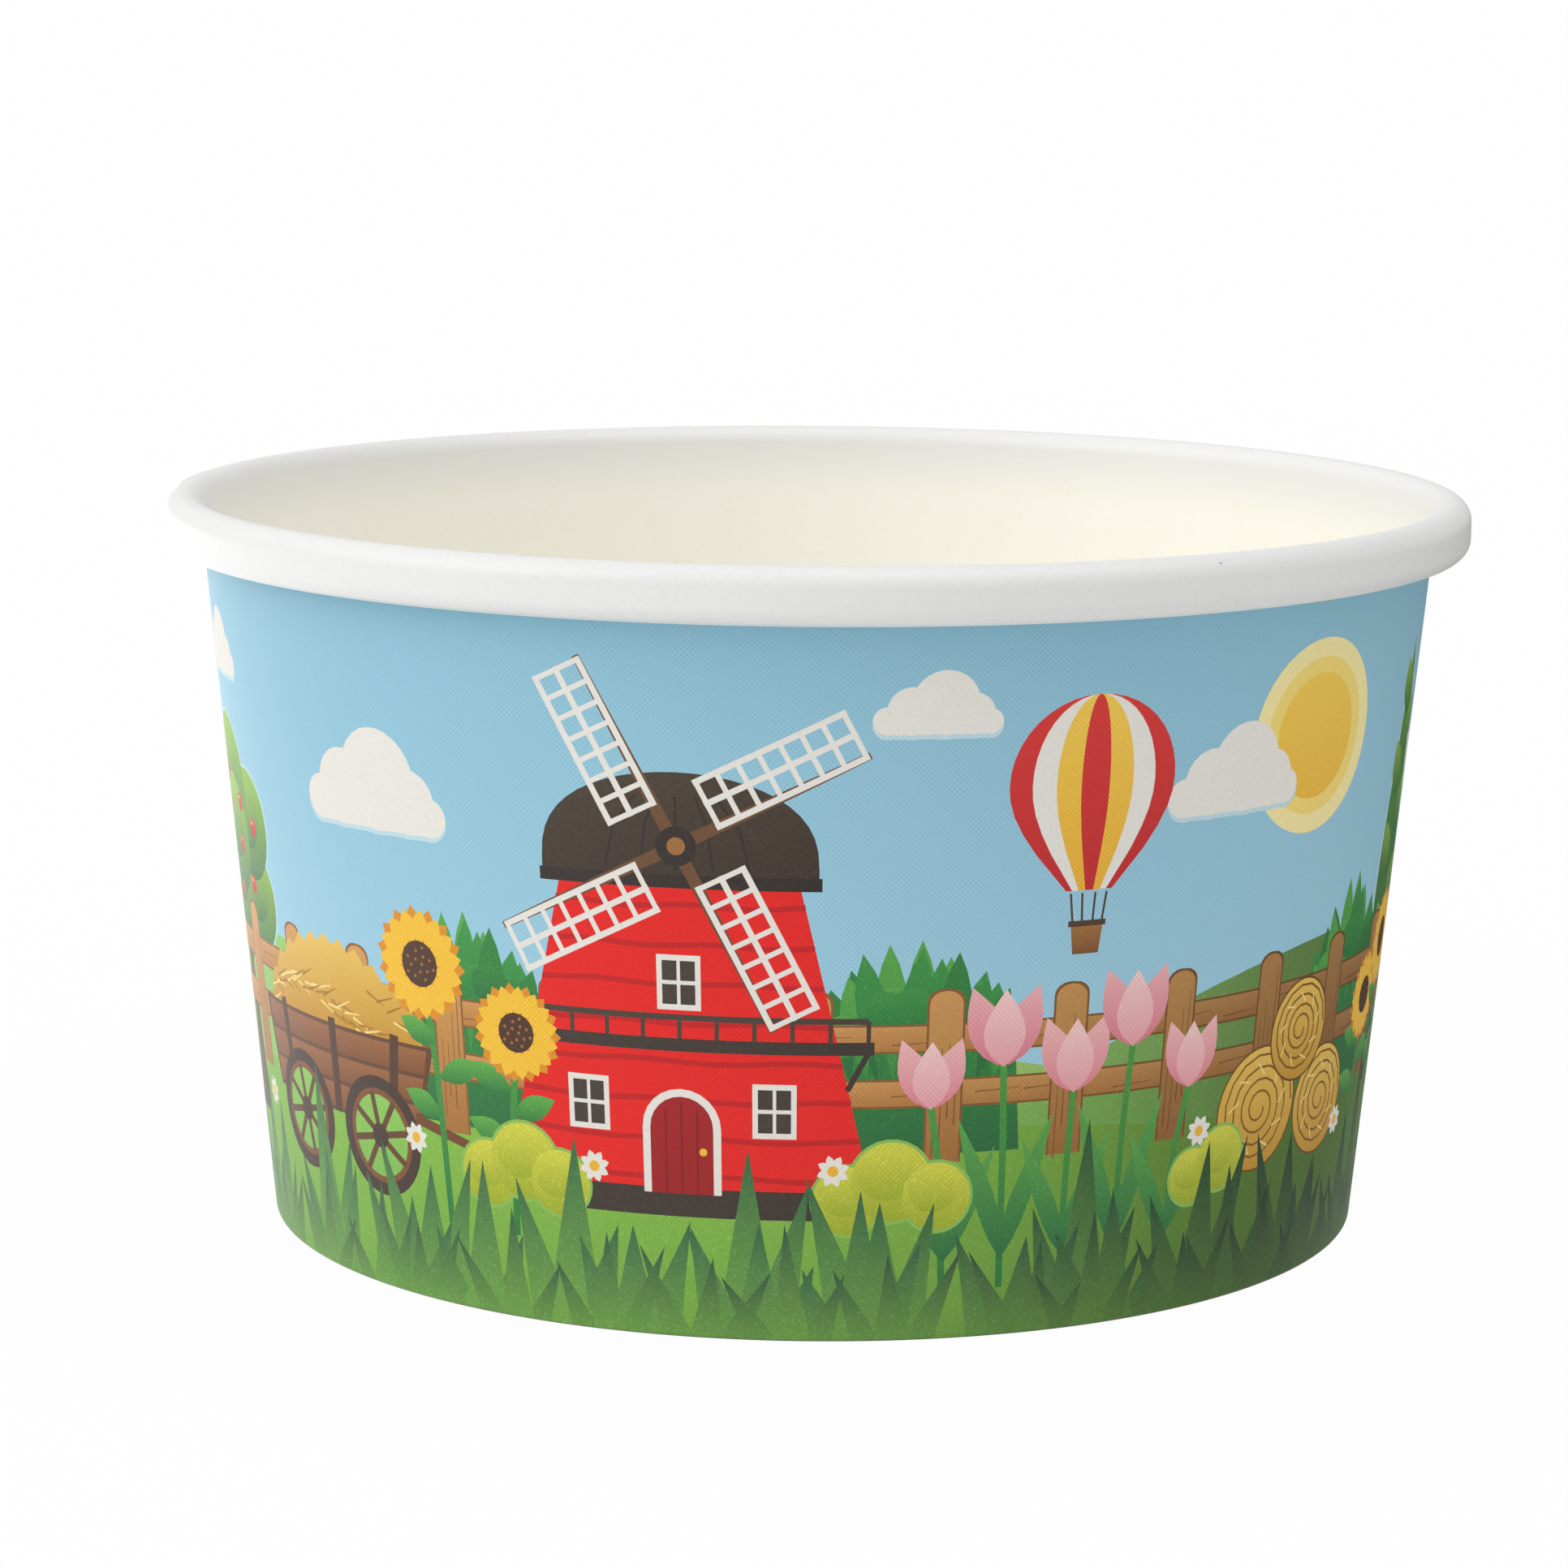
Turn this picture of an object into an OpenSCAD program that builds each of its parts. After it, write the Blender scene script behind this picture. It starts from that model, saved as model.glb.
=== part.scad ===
// A round paper dessert cup. A fan-shaped blank of board is rolled into a cone and
// lapped at the side seam. Its top edge is curled outwards into a hollow rim, and
// its bottom edge is folded in and up round the down-turned flange of a base disc.
// The origin is the centre of the circle that the cup stands on, with Z up.

/* [Cup] */
// Outside diameter of the rolled rim
rim_d = 95; // [80:0.5:120]
// Outside diameter of the wall at the foot
base_d = 80; // [60:0.5:84]
// Height from the table to the top of the rim
cup_h = 53.2; // [30:0.1:120]
// Thickness of the wall's board
board_t = 0.33; // [0.25:0.01:0.4]

/* [Rolled rim] */
// Width of the roll, from the inside of the wall
curl_w = 2.9; // [2.5:0.1:3.3]
// Height of the roll
curl_h = 3.9; // [3.5:0.1:6]
// Gap between the wall and the edge that is tucked up inside the roll
curl_gap = 0.06; // [0.03:0.01:0.2]
// Distance that the tucked edge stops short of the roll's top bend
curl_end_clear = 0.3; // [0.1:0.1:0.5]
// Width of the flat on the roll's crown and under it, between the bends
curl_flat = 0.1; // [0.05:0.05:0.4]

/* [Side seam] */
// Width of the lap at the foot
lap_w = 7; // [4:0.5:12]
// Step at the lap's edge, less than a board because the lap is pressed while hot
lap_step = 0.26; // [0.2:0.01:0.3]
// Direction of the seam round the cup, in degrees from +X
seam_azimuth = 165; // [0:1:359]

/* [Base] */
// Thickness of the base disc's board
base_t = 0.3; // [0.2:0.01:0.4]
// Height of the base disc's underside above the table
base_recess = 6; // [4:0.1:12]
// Radius of the bend between the disc and its flange, at mid board
base_bend_r = 0.65; // [0.4:0.05:1.5]
// Distance that the flange stops short of the fold's inner face
flange_clear = 0.15; // [0.05:0.05:1]

/* [Folded foot] */
// Play on each side of the flange, which the sealing film fills
seal_gap = 0.03; // [0.02:0.01:0.1]
// Distance that the hem's edge stops short of the base disc's bend
hem_clear = 0.3; // [0.1:0.1:2]
// Radius of the fold's two corners, at mid board
fold_r = 0.22; // [0.2:0.01:0.25]

/* [Print] */
// Relief of each ink over the one under it
ink_t = 0.01; // [0.005:0.005:0.015]
// Height of the horizon
horizon_h = 14.2; // [12:0.1:15]
// Height of the far hills
hill_h = 20.6; // [17:0.1:24]
// Width of the widest hill
hill_w = 62; // [50:1:64]
// Height at which the clouds float
cloud_h = 36.4; // [33:0.1:40]
// Height at which the windmill stands
mill_foot_h = 9; // [7:0.1:11]
// Height of the windmill's tower
mill_h = 23; // [18:0.1:25]
// Width of the tower at its foot
mill_foot_w = 26.8; // [20:0.1:28]
// Width of the tower at its top
mill_top_w = 16; // [10:0.1:18]
// Length of a sail
sail_l = 11.1; // [8:0.1:12]
// Width of a sail
sail_w = 3.7; // [2:0.1:4]
// Height of the middle of the hot-air balloon
balloon_h = 38.2; // [34:0.1:40]
// Width of the balloon
balloon_w = 12; // [8:0.1:13]
// Height of the tallest grass
grass_h = 10.3; // [7:0.1:12]
// Number of tufts of grass in one picture
grass_tufts = 9; // [6:1:16]

/* [Hidden] */
board_white = "#F4F2EC";
sky_blue = "#9CCBDD";
meadow_green = "#6FA94E";
hill_green = "#86B85A";
tree_green = "#4B8A42";
grass_green = "#387748";
sun_yellow = "#F2C14A";
hay_yellow = "#DDAE48";
cart_brown = "#7A4B2A";
mill_red = "#CF2B2D";
mill_dark = "#463B34";
tulip_pink = "#EC8FA2";
base_cream = "#F1EDE0";
bend_step = 15;
hub_r = base_d / 4;
$fn = 180;

// Every section lies in the XY plane, with X as the radius and Y as the height.
wall_lean = atan((rim_d / 2 - curl_w + board_t - base_d / 2) / (cup_h - curl_h / 2));
channel_w = base_t + 2 * seal_gap;
curl_leg_x = (rim_d - board_t) / 2;
curl_top_y = cup_h - board_t / 2;
curl_low_y = cup_h - curl_h + board_t / 2;
curl_top_r = (curl_leg_x - wall_x(curl_top_y) - curl_flat) / (1 + tan(45 - wall_lean / 2));
curl_low_r = (curl_leg_x - tail_x(curl_low_y) - curl_flat) / (1 + tan(45 + wall_lean / 2));
tail_end_y = curl_top_y - curl_top_r - curl_end_clear;
disc_y = base_recess + base_t / 2;
hem_end_y = disc_y - base_t / 2 - base_bend_r - hem_clear;

// Radius of a board's mid line, at a height and a distance in from the wall's outer face
function leaning_x(y, depth) = base_d / 2 + y * tan(wall_lean) - depth / cos(wall_lean);
function wall_x(y) = leaning_x(y, board_t / 2);
function hem_x(y) = leaning_x(y, 1.5 * board_t + channel_w);
function flange_x(y) = leaning_x(y, board_t + channel_w / 2);
function tail_x(y) = leaning_x(y, -board_t / 2 - curl_gap);

function unit(v) = v / norm(v);
function square_to(v) = [-v.y, v.x];

// Points of the arc that rounds the corner b, between a and c
function bend(a, b, c, r) =
    let (
        u = unit(a - b),
        v = unit(c - b),
        half = acos(u * v) / 2,
        centre = b + unit(u + v) * r / sin(half),
        turn = 180 - 2 * half,
        side = u.x * v.y - u.y * v.x > 0 ? -1 : 1,
        first = b + u * r / tan(half) - centre,
        steps = ceil(turn / bend_step)
    )
    [for (i = [0 : steps])
        let (t = side * turn * i / steps)
        centre + [first.x * cos(t) - first.y * sin(t), first.x * sin(t) + first.y * cos(t)]];

// A line of corners, each one but the ends rounded to its own radius
function rounded(corners, radii) = [
    corners[0],
    for (i = [1 : len(corners) - 2])
        each bend(corners[i - 1], corners[i], corners[i + 1], radii[i - 1]),
    corners[len(corners) - 1]
];

// A board of one thickness along its mid line
module board(line, t) {
    last = len(line) - 1;
    normals = [for (i = [0 : last])
        let (
            before = i == 0 ? unit(line[1] - line[0]) : unit(line[i] - line[i - 1]),
            after = i == last ? before : unit(line[i + 1] - line[i]),
            mean = unit(before + after)
        )
        square_to(mean) / (mean * before)];
    polygon([
        for (i = [0 : last]) line[i] + normals[i] * t / 2,
        for (i = [last : -1 : 0]) line[i] - normals[i] * t / 2
    ]);
}

foot = [wall_x(board_t / 2), board_t / 2];
curl = [
    [wall_x(curl_top_y), curl_top_y],
    [curl_leg_x, curl_top_y],
    [curl_leg_x, curl_low_y],
    [tail_x(curl_low_y), curl_low_y],
    [tail_x(tail_end_y), tail_end_y]
];
curl_radii = [curl_top_r, curl_top_r, curl_low_r, curl_low_r];
hem = [[hem_x(hem_end_y), hem_end_y], [hem_x(board_t / 2), board_t / 2]];

module wall_section() {
    board(rounded(concat(hem, [foot], curl), concat([fold_r, fold_r], curl_radii)), board_t);
}

// The wall above the fold, which is all that the lap doubles
module lap_section() {
    above_fold = [wall_x(board_t + fold_r), board_t + fold_r];
    board(rounded(concat([above_fold], curl), curl_radii), board_t);
}

module base_section() {
    flange_end_y = board_t + flange_clear;
    line = [[hub_r, disc_y], [flange_x(disc_y), disc_y], [flange_x(flange_end_y), flange_end_y]];
    board(rounded(line, [base_bend_r]), base_t);
}

// The board is rolled about two centres half a step apart, so that it comes round
// one whole step further out and lies over its own edge.
module rolled() {
    rotate_extrude(angle = 180) children();
    rolled_outer(0, 180) children();
}

// The second half turn, or the lap that runs on from it
module rolled_outer(from, angle) {
    translate([lap_step / 2, 0, 0])
        rotate([0, 0, 180 + from])
            rotate_extrude(angle = angle)
                translate([lap_step / 2, 0])
                    children();
}

// The print covers the wall from the fold up to the roll. It holds one picture
// twice, and each ink lies a little prouder than the ink under it.
lap_angle = lap_w / base_d * 360 / PI;
pictures = 2;
print_low_y = board_t + fold_r;
print_top_y = curl_top_y - curl_top_r * tan(45 - wall_lean / 2) + 0.3;
picture_w = PI * (base_d + print_top_y * tan(wall_lean)) / pictures;

module skin(low_y, top_y, layer) {
    rotate([0, 0, seam_azimuth]) {
        rolled() skin_section(low_y, top_y, layer * ink_t);
        rolled_outer(180, lap_angle) skin_section(low_y, top_y, layer * ink_t);
    }
}

module skin_section(low_y, top_y, proud) {
    in = board_t / 2 + proud;
    polygon([
        [leaning_x(low_y, in), low_y],
        [leaning_x(low_y, -proud), low_y],
        [leaning_x(top_y, -proud), top_y],
        [leaning_x(top_y, in), top_y]
    ]);
}

module ink(layer, tint) {
    color(tint)
        intersection() {
            skin(print_low_y, print_top_y, layer);
            union() children();
        }
}

// A flat shape at a distance round the wall from the front and at a height
module at(along, up, inner_r = base_d * 0.4) {
    for (i = [0 : pictures - 1])
        rotate([0, 0, (along / picture_w + i) * 360 / pictures])
            translate([0, -inner_r, up])
                rotate([90, 0, 0])
                    linear_extrude(rim_d / 2)
                        children();
}

module oval(w, h, sides) {
    polygon([for (i = [0 : sides - 1]) [w / 2 * cos(i * 360 / sides), h / 2 * sin(i * 360 / sides)]]);
}

module trapezium(low_w, high_w, h) {
    polygon([[-low_w / 2, 0], [low_w / 2, 0], [high_w / 2, h], [-high_w / 2, h]]);
}

module cloud(w) {
    polygon([for (a = [0 : 15 : 345]) w * (1 + 0.09 * cos(a * 5)) * [cos(a) / 2, sin(a) / 4]]);
}

module tree_crown(r) {
    polygon([for (a = [0 : 12 : 348]) (r + cos(a * 6)) * [cos(a), sin(a)]]);
}

module tuft() {
    polygon([
        [-3.6, 2.2],
        [3.6, 2.2],
        [3.3, grass_h * 0.72],
        [1.4, grass_h * 0.42],
        [0.3, grass_h],
        [-1.2, grass_h * 0.42],
        [-3.1, grass_h * 0.62]
    ]);
}

// The sky and the meadow stay a hair apart, so that neither edge lies on the other
module ground_print() {
    color(sky_blue) skin(horizon_h, print_top_y, 1);
    color(meadow_green) skin(print_low_y, horizon_h - 0.02, 1);
    ink(2, hill_green) {
        at(-49, hill_h / 2, hub_r) oval(hill_w * 0.8, hill_h, 20);
        at(-4, hill_h / 2 - 0.8, hub_r) oval(hill_w, hill_h, 20);
        at(43, hill_h / 2 + 1.3, hub_r) oval(hill_w * 0.9, hill_h, 20);
    }
    ink(2, board_white) {
        at(-32.8, cloud_h) cloud(12.2);
        at(7.6, cloud_h + 7.3) cloud(7.4);
        at(30.1, cloud_h + 1.3) cloud(10.3);
    }
}

module tree_print() {
    ink(3, tree_green) {
        at(-57, 28.7) tree_crown(9);
        at(55.5, 29.1) oval(7.4, 31.3, 16);
        at(62.5, 26.7) oval(6.2, 25.2, 16);
    }
}

// The tower, its cap, and the sails that turn on a hub in the cap
module mill_print() {
    mill_along = -9;
    mill_top_h = mill_foot_h + mill_h;
    ink(5, mill_red)
        at(mill_along, mill_foot_h) trapezium(mill_foot_w, mill_top_w, mill_h);
    ink(6, mill_dark)
        at(mill_along, mill_top_h - 0.6)
            polygon([for (a = [0 : 20 : 180]) [(mill_top_w / 2 + 1.3) * cos(a), 6.9 * sin(a)]]);
    ink(7, board_white)
        for (i = [0 : 3])
            at(mill_along, mill_top_h + 2.2)
                rotate(27 + i * 90)
                    translate([2.9, -0.2])
                        square([sail_l, sail_w]);
}

module balloon_print() {
    ink(3, mill_red)
        at(18.5, balloon_h)
            polygon([
                for (a = [0 : 18 : 180]) balloon_w / 2 * [cos(a), sin(a)],
                balloon_w * [-0.12, -0.62],
                balloon_w * [0.12, -0.62]
            ]);
    ink(3, sun_yellow)
        at(40.2, balloon_h + 1.3) oval(8.8, 8.8, 16);
}

// A heaped cart and three bales
module cart_print() {
    ink(6, hay_yellow) {
        at(-39.5, 18.1) oval(20.8, 12.6, 16);
        at(35.6, 13.4) oval(8.8, 8.8, 14);
        at(44.4, 12.6) oval(7.8, 7.8, 14);
        at(40.1, 18.6) oval(7.2, 7.2, 14);
    }
    ink(7, cart_brown)
        at(-40, 11.9) trapezium(19.6, 23.2, 6.4);
}

module flower_print() {
    ink(8, tulip_pink)
        for (i = [0 : 4])
            at(9.2 + i * 4.35, 18.6 + 1.6 * cos(i * 180)) oval(3.4, 4.9, 8);
}

// A close sward along the foot, with tufts that stand out of it
module grass_print() {
    color(grass_green) skin(print_low_y, grass_h * 0.4, 8);
    ink(9, grass_green)
        for (i = [0 : grass_tufts - 1])
            at((i + 0.37 - grass_tufts / 2) * picture_w / grass_tufts, 0.9) tuft();
}

module cup_wall() {
    color(board_white)
        rotate([0, 0, seam_azimuth]) {
            rolled() wall_section();
            rolled_outer(180, lap_angle) lap_section();
        }
    ground_print();
    tree_print();
    mill_print();
    balloon_print();
    cart_print();
    flower_print();
    grass_print();
}

module cup_base() {
    color(base_cream)
        rotate([0, 0, seam_azimuth]) {
            rolled() base_section();
            translate([0, 0, base_recess])
                cylinder(h = base_t, r = hub_r * 1.5);
        }
}

cup_wall();
cup_base();
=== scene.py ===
import math

import bmesh
import bpy
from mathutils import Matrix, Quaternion, Vector, geometry


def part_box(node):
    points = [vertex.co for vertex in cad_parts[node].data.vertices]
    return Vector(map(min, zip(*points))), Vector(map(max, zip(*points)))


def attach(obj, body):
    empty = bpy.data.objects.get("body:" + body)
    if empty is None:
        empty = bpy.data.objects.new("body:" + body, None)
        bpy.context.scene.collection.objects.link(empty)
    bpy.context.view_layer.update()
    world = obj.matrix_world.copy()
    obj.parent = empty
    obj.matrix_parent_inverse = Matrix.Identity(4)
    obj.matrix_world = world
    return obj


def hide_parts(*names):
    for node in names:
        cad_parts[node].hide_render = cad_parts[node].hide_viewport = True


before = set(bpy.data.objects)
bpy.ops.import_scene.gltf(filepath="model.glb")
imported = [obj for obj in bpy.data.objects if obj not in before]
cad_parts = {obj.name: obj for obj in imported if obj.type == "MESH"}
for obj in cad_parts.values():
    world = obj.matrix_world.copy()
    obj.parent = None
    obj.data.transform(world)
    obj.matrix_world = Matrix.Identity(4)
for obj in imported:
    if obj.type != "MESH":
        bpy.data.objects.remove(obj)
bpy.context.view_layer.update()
MM = 0.001

# Camera: a short telephoto view from a little above the rim, rolled by less than
# half a degree, as the photograph was taken.
eye = Vector((0.0, -355.82, 92.36)) * MM
aim = Vector((-2.34, 0.0, 31.11)) * MM
camera_roll = math.radians(0.407)
camera_data = bpy.data.cameras.new("camera")
camera_data.lens = 111.91
camera_data.sensor_width = 36
camera_data.clip_start = 0.02
camera = bpy.data.objects.new("camera", camera_data)
camera.location = eye
camera.rotation_mode = "QUATERNION"
facing = (aim - eye).to_track_quat("-Z", "Y")
camera.rotation_quaternion = facing @ Quaternion((0, 0, 1), camera_roll)
bpy.context.scene.collection.objects.link(camera)
bpy.context.scene.camera = camera

# Sidewall: one blank of coated board, rolled into a cone and lapped at the side seam.
# Its top edge is curled out into the hollow rim, and its foot is folded in and up into
# a knurled hem. The board's mid line is drawn, rolled round, then given its thickness.
low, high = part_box("cup_wall")
cup_h = high.z
rim_r = -low.y
foot_r = 40 * MM
board_t = 0.33 * MM
curl_w = 2.9 * MM
curl_h = 3.9 * MM
curl_gap = 0.06 * MM
curl_flat = 0.1 * MM
curl_end_clear = 0.3 * MM
base_t = 0.3 * MM
seal_gap = 0.03 * MM
hem_h = 5.05 * MM
fold_r = 0.22 * MM
hem_lip = 0.6 * MM
hem_low = 1.2 * MM
hem_join = 0.03 * MM
press_r = 0.2 * MM
knurl_depth = 0.07 * MM
knurl_low = 1 * MM
knurl_clear = 0.5 * MM
lap_step = 0.26 * MM
lap_w = 7 * MM
seam_angle = math.radians(165)
roll_step = math.radians(1.5)
lap_angle = round(lap_w / foot_r / roll_step) * roll_step
slope = (rim_r - curl_w + board_t - foot_r) / (cup_h - curl_h / 2)
lean = math.atan(slope)
mid = board_t / 2
hem_depth = 1.5 * board_t + (base_t + 2 * seal_gap)
tuck_depth = -mid - curl_gap
leg_x = rim_r - mid
top_z = cup_h - mid
low_z = cup_h - curl_h + mid


def cone_radius(z, depth=0.0):
    """Radius at a height of the cone that lies a depth inside the wall's outer face."""
    return foot_r + z * slope - depth / math.cos(lean)


def drafted(corners):
    """A line of vertices in the XZ plane, each corner but the ends rounded to its radius."""
    bm = bmesh.new()
    line = [bm.verts.new((x, 0, z)) for x, z, _, _ in corners]
    for a, b in zip(line, line[1:]):
        bm.edges.new((a, b))
    bends = []
    for before, vert, after, (_, _, radius, steps) in zip(line, line[1:], line[2:], corners[1:]):
        half = (before.co - vert.co).angle(after.co - vert.co) / 2
        bends.append((vert, radius / math.tan(half), steps))
    for vert, reach, steps in bends:
        bmesh.ops.bevel(bm, geom=[vert], offset=reach, offset_type="OFFSET", segments=steps,
                        profile=0.5, affect="VERTICES", material=-1)
    return bm


def rolled(bm, end_angle):
    """Rolls the line half a turn round one centre, then on round a second, half a step away."""
    second_centre = Vector((lap_step / 2, 0, 0))
    first = bmesh.ops.spin(bm, geom=bm.verts[:] + bm.edges[:], cent=(0, 0, 0), axis=(0, 0, 1),
                           angle=math.pi, steps=round(math.pi / roll_step))
    bmesh.ops.spin(bm, geom=first["geom_last"], cent=second_centre, axis=(0, 0, 1),
                   angle=end_angle - math.pi, steps=round((end_angle - math.pi) / roll_step))


curl_top_r = ((leg_x - cone_radius(top_z, mid) - curl_flat)
              / (1 + math.tan((math.pi / 2 - lean) / 2)))
curl_low_r = ((leg_x - cone_radius(low_z, tuck_depth) - curl_flat)
              / (1 + math.tan((math.pi / 2 + lean) / 2)))
tail_z = top_z - curl_top_r - curl_end_clear
fold_x = (cone_radius(mid, mid) + cone_radius(mid, hem_depth)) / 2
wall_corners = [
    (fold_x, mid, 0, 0),
    (cone_radius(mid, mid), mid, fold_r, 6),
    (cone_radius(top_z, mid), top_z, curl_top_r, 14),
    (leg_x, top_z, curl_top_r, 14),
    (leg_x, low_z, curl_low_r, 14),
    (cone_radius(low_z, tuck_depth), low_z, curl_low_r, 12),
    (cone_radius(tail_z, tuck_depth), tail_z, 0, 0),
]
hem_corners = [
    (cone_radius(hem_h, hem_depth), hem_h, 0, 0),
    (cone_radius(hem_h - hem_lip, hem_depth), hem_h - hem_lip, press_r, 2),
    (cone_radius(hem_low, hem_depth), hem_low, press_r, 2),
    (cone_radius(mid, hem_depth), mid, fold_r, 6),
    (fold_x + hem_join, mid, 0, 0),
]
sheet = bmesh.new()
for corners, end_angle in ((wall_corners, 2 * math.pi + lap_angle), (hem_corners, 2 * math.pi)):
    bm = drafted(corners)
    rolled(bm, end_angle)
    if corners is hem_corners:
        for v in bm.verts:
            strip = round(math.atan2(v.co.y, v.co.x) / roll_step)
            if strip % 2 and knurl_low < v.co.z < hem_h - knurl_clear:
                v.co.xy -= v.co.xy.normalized() * knurl_depth
    run = bpy.data.meshes.new("run")
    bm.to_mesh(run)
    bm.free()
    sheet.from_mesh(run)
    bpy.data.meshes.remove(run)
bmesh.ops.recalc_face_normals(sheet, faces=sheet.faces)
bmesh.ops.rotate(sheet, verts=sheet.verts, cent=(0, 0, 0),
                 matrix=Quaternion((0, 0, 1), seam_angle).to_matrix())
wall_mesh = bpy.data.meshes.new("side_wall")
sheet.to_mesh(wall_mesh)
sheet.free()
wall = bpy.data.objects.new("side_wall", wall_mesh)
bpy.context.scene.collection.objects.link(wall)
thickness = wall.modifiers.new("board", "SOLIDIFY")
thickness.thickness = board_t
thickness.offset = 0
thickness.use_even_offset = True
thickness.use_rim = True
wall.data = bpy.data.meshes.new_from_object(wall.evaluated_get(bpy.context.evaluated_depsgraph_get()))
wall.modifiers.clear()
wall.data.shade_smooth()
wall.data.set_sharp_from_angle(angle=math.radians(35))


def linear(colour):
    """Red, green and blue as light, from a colour as it is written for a screen."""
    parts = [int(colour[i:i + 2], 16) / 255 for i in (1, 3, 5)]
    return tuple(c / 12.92 if c < 0.04045 else ((c + 0.055) / 1.055) ** 2.4 for c in parts)


def grain_group():
    """Board fibre: a fine speckle and a softer mottle, as a mask and as a height."""
    group = bpy.data.node_groups.new("board_grain", "ShaderNodeTree")
    group.interface.new_socket("Size", in_out="INPUT", socket_type="NodeSocketFloat")
    group.interface.new_socket("Speckle", in_out="OUTPUT", socket_type="NodeSocketFloat")
    group.interface.new_socket("Height", in_out="OUTPUT", socket_type="NodeSocketFloat")
    nodes, links = group.nodes, group.links
    given, made = nodes.new("NodeGroupInput"), nodes.new("NodeGroupOutput")
    place = nodes.new("ShaderNodeTexCoord")
    fine = nodes.new("ShaderNodeTexNoise")
    fine.inputs["Detail"].default_value = 2
    fine.inputs["Roughness"].default_value = 0.6
    soft = nodes.new("ShaderNodeTexNoise")
    soft.inputs["Scale"].default_value = 900
    soft.inputs["Detail"].default_value = 3
    ramp = nodes.new("ShaderNodeMapRange")
    ramp.inputs["From Min"].default_value = 0.52
    ramp.inputs["From Max"].default_value = 0.74
    mix = nodes.new("ShaderNodeMath")
    mix.operation = "ADD"
    links.new(given.outputs["Size"], fine.inputs["Scale"])
    for noise in (fine, soft):
        links.new(place.outputs["Object"], noise.inputs["Vector"])
    links.new(fine.outputs["Fac"], ramp.inputs["Value"])
    links.new(ramp.outputs["Result"], made.inputs["Speckle"])
    links.new(fine.outputs["Fac"], mix.inputs[0])
    links.new(soft.outputs["Fac"], mix.inputs[1])
    links.new(mix.outputs["Value"], made.inputs["Height"])
    return group


board_grain = grain_group()


def board_material(name, colour, mottle_colour, size, bump, roughness, coat=0.0):
    """Unprinted board: one colour, mottled by its fibre, with a fine tooth."""
    material = bpy.data.materials.new(name)
    material.use_nodes = True
    nodes, links = material.node_tree.nodes, material.node_tree.links
    shader = nodes["Principled BSDF"]
    shader.inputs["Roughness"].default_value = roughness
    shader.inputs["Coat Weight"].default_value = coat
    shader.inputs["Coat Roughness"].default_value = 0.3
    grain = nodes.new("ShaderNodeGroup")
    grain.node_tree = board_grain
    grain.inputs["Size"].default_value = size
    mottle = nodes.new("ShaderNodeMix")
    mottle.data_type = "RGBA"
    mottle.inputs[6].default_value = (*linear(colour), 1)
    mottle.inputs[7].default_value = (*linear(mottle_colour), 1)
    relief = nodes.new("ShaderNodeBump")
    relief.inputs["Strength"].default_value = bump
    relief.inputs["Distance"].default_value = 0.02 * MM
    links.new(grain.outputs["Speckle"], mottle.inputs["Factor"])
    links.new(mottle.outputs[2], shader.inputs["Base Color"])
    links.new(grain.outputs["Height"], relief.inputs["Height"])
    links.new(relief.outputs["Normal"], shader.inputs["Normal"])
    return material


def tinted(material, mask, colour):
    """Lays a second colour over a board where the mask is high."""
    nodes, links = material.node_tree.nodes, material.node_tree.links
    tint = nodes.new("ShaderNodeMix")
    tint.data_type = "RGBA"
    tint.inputs[7].default_value = (*linear(colour), 1)
    links.new(mask.outputs["Result"], tint.inputs["Factor"])
    links.new(nodes["Mix"].outputs[2], tint.inputs[6])
    links.new(tint.outputs[2], nodes["Principled BSDF"].inputs["Base Color"])


# A dark speck of dust on the rim
speck_at = Vector((26.36, -39.1, 52.72)) * MM
speck_r = 0.05 * MM
speck_fade_r = 0.11 * MM
rim_white = "#ECECEB"
rim_board = board_material("rim_board", rim_white, "#E9E9E7", 2600, 0.15, 0.42, 0.15)
nodes, links = rim_board.node_tree.nodes, rim_board.node_tree.links
place = nodes.new("ShaderNodeTexCoord")
away = nodes.new("ShaderNodeVectorMath")
away.operation = "DISTANCE"
away.inputs[1].default_value = speck_at
near = nodes.new("ShaderNodeMapRange")
near.inputs["From Min"].default_value = speck_r
near.inputs["From Max"].default_value = speck_fade_r
near.inputs["To Min"].default_value = 0.75
near.inputs["To Max"].default_value = 0
links.new(place.outputs["Object"], away.inputs[0])
links.new(away.outputs["Value"], near.inputs["Value"])
tinted(rim_board, near, "#3A3630")

# The cream inside is blended into the rim's white over the top 6 mm of the wall
inside_film = board_material("inside_film", "#FCFAF1", "#FAF8ED", 2200, 0.12, 0.4, 0.15)
nodes, links = inside_film.node_tree.nodes, inside_film.node_tree.links
place = nodes.new("ShaderNodeTexCoord")
split = nodes.new("ShaderNodeSeparateXYZ")
near_rim = nodes.new("ShaderNodeMapRange")
near_rim.interpolation_type = "SMOOTHSTEP"
near_rim.inputs["From Min"].default_value = cup_h - 6 * MM
near_rim.inputs["From Max"].default_value = cup_h - 0.5 * MM
links.new(place.outputs["Object"], split.inputs[0])
links.new(split.outputs["Z"], near_rim.inputs["Value"])
tinted(inside_film, near_rim, rim_white)
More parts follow.
